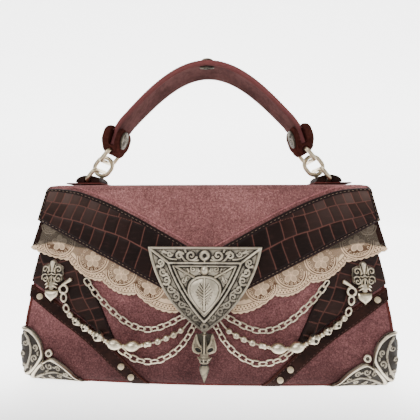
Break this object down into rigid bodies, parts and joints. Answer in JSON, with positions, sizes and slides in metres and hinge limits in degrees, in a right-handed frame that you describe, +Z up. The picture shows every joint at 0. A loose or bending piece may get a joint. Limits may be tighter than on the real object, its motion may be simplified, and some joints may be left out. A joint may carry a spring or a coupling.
{
  "type": "structured top-handle handbag",
  "caption": "Structured flap handbag with a short arched handle on links, lace trim under a V-shaped embossed band, a shield clasp with a hanging drop, draped chains and metal corner guards.",
  "frame": {"origin": "centre of the underside of the base, where the bag stands", "axes": "+X to the right seen from the front, the front with the clasp faces -Y, +Z up"},
  "size_m": [0.2816, 0.0864, 0.2557],
  "materials": {
    "suede": "dusty pink suede-finish leather",
    "dark_leather": "dark brown smooth leather",
    "croc_leather": "dark brown scale-embossed leather, waxed",
    "strap_leather": "dark red smooth leather",
    "lace": "cream cotton lace",
    "antique_silver": "cast antique silver, dark in the recesses",
    "rivet_cap": "pale warm polished cap"
  },
  "bodies": {
    "bag": {"body_shell": "suede", "flap": "suede", "flap_underlay": "dark_leather", "croc_band_left": "croc_leather", "croc_band_right": "croc_leather", "lace_left": "lace", "lace_right": "lace", "croc_panel_left": "croc_leather", "croc_panel_right": "croc_leather", "corner_strap_left": "dark_leather", "corner_strap_right": "dark_leather", "rivet_left_1": "rivet_cap", "rivet_left_2": "rivet_cap", "rivet_left_3": "rivet_cap", "rivet_right_1": "rivet_cap", "rivet_right_2": "rivet_cap", "rivet_right_3": "rivet_cap", "shield": "antique_silver", "upper_chain_left": "antique_silver", "upper_chain_right": "antique_silver", "lower_chain_left": "antique_silver", "lower_chain_right": "antique_silver", "bead_strand_left": "antique_silver", "bead_strand_right": "antique_silver", "flower_stud_left": "antique_silver", "flower_stud_right": "antique_silver", "heart_drop_left": "antique_silver", "heart_drop_right": "antique_silver", "corner_guard_left": "antique_silver", "corner_guard_right": "antique_silver", "handle_strap": "strap_leather", "apex_coin_top": "antique_silver", "apex_coin_under": "antique_silver", "handle_tab_left": "dark_leather", "handle_tab_right": "dark_leather", "tab_coin_left_outer": "antique_silver", "tab_coin_left_inner": "antique_silver", "tab_coin_right_outer": "antique_silver", "tab_coin_right_inner": "antique_silver", "handle_link_left_1": "antique_silver", "handle_link_left_2": "antique_silver", "handle_link_left_3": "antique_silver", "handle_link_right_1": "antique_silver", "handle_link_right_2": "antique_silver", "handle_link_right_3": "antique_silver", "anchor_patch_left": "strap_leather", "anchor_patch_right": "strap_leather", "anchor_loop_left": "dark_leather", "anchor_loop_right": "dark_leather"},
    "pendant": {"pendant": "antique_silver"}
  },
  "joints": [
    {"name": "pendant_swing", "type": "hinge", "parent": "bag", "child": "pendant", "pos_m": [0, -0.04315, 0.04943], "axis": [0, 0.9955, -0.0952], "range_deg": [-35, 35]}
  ]
}
